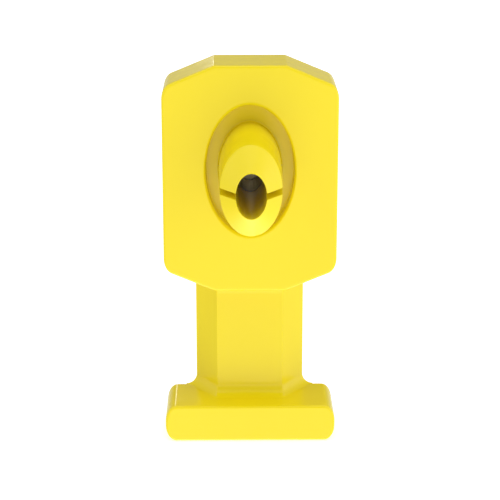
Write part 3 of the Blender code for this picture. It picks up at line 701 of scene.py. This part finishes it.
def make_jaw(name, side):
    """One half of the split oval nozzle, with its root block, bore, pivot and pockets."""
    ease, lip = SHOULDER_EASE, MOUTH_EASE
    cone = math.atan2(NOZZLE_END_RADIUS - BORE_RADIUS, NOZZLE_END - TIP)
    slope = Vector((math.sin(cone), -math.cos(cone)))
    nozzle_tip = FRONT - TIP
    shoulder = Vector((NOZZLE_END_RADIUS, FRONT - NOZZLE_END))
    profile = [
        (0, nozzle_tip), (BORE_RADIUS + lip / 3, nozzle_tip),
        (BORE_RADIUS + lip, nozzle_tip - lip / 3),
        (shoulder.x - slope.x * ease, shoulder.y - slope.y * ease),
        (shoulder.x - slope.x * ease / 3, shoulder.y - slope.y * ease / 3 - ease / 10),
        (NOZZLE_END_RADIUS + SHOULDER_FLARE, FRONT - NOZZLE_END - ease),
    ]
    skirt = SKIRT_LIFT - POCKET_DEPTH
    for rise, inset in fillet_steps(SKIRT_FILLET, 5):
        across = SKIRT_RADIUS - SKIRT_FILLET + inset
        profile.append((across, skirt + SKIRT_LIP + rise))
    body_end = FRONT - ROOT_FRONT - OVERLAP
    profile += [
        (SKIRT_RADIUS, skirt), (NOZZLE_ROOT_RADIUS, skirt), (NOZZLE_ROOT_RADIUS, body_end),
        (0, body_end),
    ]
    jaw = turned(f"{name}_moulding", profile, (0, FRONT, WIRE_Z))
    ends = [WIRE_Z, WIRE_Z + side * ROOT_REACH]
    start = (-ROOT_HALF_WIDTH, ROOT_FRONT, min(ends))
    end = (ROOT_HALF_WIDTH, ROOT_BACK, max(ends))
    combine(jaw, block("root", start, end), "UNION")
    mouth, seat, rear = nozzle_tip + 3 * PAST, FRONT - LINER_SEAT, FRONT - BACK
    bore = [
        (0, mouth), (BORE_RADIUS, mouth), (BORE_RADIUS, seat),
        (BORE_SEAT_RADIUS, seat), (BORE_SEAT_RADIUS, rear), (0, rear),
    ]
    far = 40 * MM                          # beyond the jaw on every side
    slit = SLIT_HIGH if side > 0 else SLIT_LOW
    edges = [WIRE_Z - side * far, slit]
    other_half = block("half", (-far, -far, min(edges)), (far, far, max(edges)))
    if side < 0:
        spare_slit_ends(other_half)
    cutters = [other_half, turned("bore", bore, (0, FRONT, WIRE_Z))]
    pivot_z = WIRE_Z + side * PIVOT_OFFSET
    reach = ROOT_HALF_WIDTH + PAST
    start, end = (-reach, PIVOT_Y, pivot_z), (reach, PIVOT_Y, pivot_z)
    cutters.append(rod("pivot", start, end, PIVOT_BORE))
    for spring in ("left_jaw_spring", "right_jaw_spring"):
        low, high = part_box(spring)
        x, y = (low.x + high.x) / 2, (low.y + high.y) / 2
        start, end = (x, y, WIRE_Z), (x, y, WIRE_Z + side * SPRING_POCKET_DEPTH)
        cutters.append(rod("pocket", start, end, SPRING_POCKET_RADIUS))
    carve(jaw, *cutters)
    clean(jaw)
    dress(jaw, "yellow_moulding", name, name)


# ---------------------------------------------------------------- floor, light and camera
FLOOR_DROP = 0.05 * MM                     # below the foot, so that the faces don't coincide
FLOOR_GLOW = 0.40


def make_floor():
    """Plain pale sheet that neither lights the object nor shows in it."""
    data = bmesh.new()
    bmesh.ops.create_grid(data, x_segments=8, y_segments=8, size=6.0)
    floor = finish_mesh("floor", data)
    floor.location.z = CAD_BOX[0].z - FLOOR_DROP
    n = Nodes("floor_paper")
    cloud = n.spread(n.noise(3.0, 2.0), 0.0, 1.0)
    n.link(n.mix(cloud, (0.93, 0.93, 0.93), (0.91, 0.91, 0.91)), n.shader.inputs["Base Color"])
    n.shader.inputs["Roughness"].default_value = 0.85
    n.shader.inputs["Emission Color"].default_value = (1.0, 1.0, 1.0, 1.0)
    n.shader.inputs["Emission Strength"].default_value = FLOOR_GLOW
    floor.data.materials.append(n.material)
    floor.visible_diffuse = False
    floor.visible_glossy = False
    floor.visible_shadow = False


# Soft light from all round: (name, direction that it comes from, strength at its middle)
SOFT_LIGHTS = [
    ("front_low", (0.0, -0.85, -0.53), 2.20),
    ("right", (1.0, -0.15, 0.0), 1.75),
    ("right_high", (1.0, -0.30, 0.60), 0.65),
    ("left", (-1.0, -0.15, 0.0), 0.90),
    ("left_high", (-1.0, -0.30, 0.60), 0.85),
    ("overhead", (0.0, 0.0, 1.0), 1.85),
    ("behind", (0.0, 0.85, -0.52), 1.10),
    ("below", (0.0, 0.0, -1.0), 2.40),
]
LIGHT_FALLOFF = 4.0                        # power of the cosine from a light's middle


def make_world():
    """Studio light as wide soft pools on the surrounding sphere."""
    world = bpy.data.worlds.new("studio")
    world.use_nodes = True
    tree = world.node_tree
    direction = tree.nodes.new("ShaderNodeTexCoord").outputs["Generated"]
    total = None
    for name, towards, strength in SOFT_LIGHTS:
        aim = tree.nodes.new("ShaderNodeVectorMath")
        aim.name = name
        aim.operation = "DOT_PRODUCT"
        aim.inputs[1].default_value = Vector(towards).normalized()
        tree.links.new(direction, aim.inputs[0])
        value = aim.outputs["Value"]
        shape = (("MAXIMUM", 0.0), ("POWER", LIGHT_FALLOFF), ("MULTIPLY", strength))
        for operation, number in shape:
            step = tree.nodes.new("ShaderNodeMath")
            step.operation = operation
            step.inputs[1].default_value = number
            tree.links.new(value, step.inputs[0])
            value = step.outputs["Value"]
        if total is None:
            total = value
            continue
        both = tree.nodes.new("ShaderNodeMath")
        both.operation = "ADD"
        tree.links.new(total, both.inputs[0])
        tree.links.new(value, both.inputs[1])
        total = both.outputs["Value"]
    background = tree.nodes["Background"]
    background.inputs["Color"].default_value = (1.0, 1.0, 1.0, 1.0)
    tree.links.new(total, background.inputs["Strength"])
    bpy.context.scene.world = world


def strip_light(name, place, aim, width, height, power):
    """Small bright panel that only shows in the gloss, as a thin line along rounded edges."""
    lamp = bpy.data.lights.new(name, "AREA")
    lamp.shape = "RECTANGLE"
    lamp.size = width
    lamp.size_y = height
    lamp.energy = power
    light = bpy.data.objects.new(name, lamp)
    light.location = place
    light.rotation_euler = (Vector(aim) - Vector(place)).to_track_quat("-Z", "Y").to_euler()
    light.visible_diffuse = False
    bpy.context.scene.collection.objects.link(light)


CAMERA_LENS = 115.24                       # mm, on a sensor 36 mm wide
CAMERA_PLACE = (-3.64 * MM, FRONT - 317.95 * MM, HEAD_TOP + 56.7 * MM)
CAMERA_DOWN = 16.674                       # degrees below the horizontal
CAMERA_TURN = -0.648                       # degrees about the vertical


def make_camera():
    """Camera at the photo's angle."""
    camera = bpy.data.cameras.new("camera")
    camera.sensor_width = 36.0
    camera.lens = CAMERA_LENS
    camera.clip_start = 0.01
    camera.clip_end = 50.0
    view = bpy.data.objects.new("camera", camera)
    view.location = CAMERA_PLACE
    view.rotation_euler = (math.radians(90 - CAMERA_DOWN), 0.0, math.radians(CAMERA_TURN))
    bpy.context.scene.collection.objects.link(view)
    bpy.context.scene.camera = view


make_foot()
make_head()
make_cover()
make_jaw("upper_jaw", 1)
make_jaw("lower_jaw", -1)

for entry in frame["record"]["subparts"]:
    node = frame["nodes"][entry["node"]]
    if node.hide_render:
        continue
    node.data.materials.clear()
    node.data.materials.append(BY_SLOT[entry["material_slot"]])

make_floor()
make_world()
strip_light(
    "edge_light", place=(-0.20, 1.55, 0.46), aim=(0.0, 0.0, FOOT_HEIGHT), width=0.11, height=0.16,
    power=0.8,
)
make_camera()
bpy.context.scene.view_settings.view_transform = "Standard"
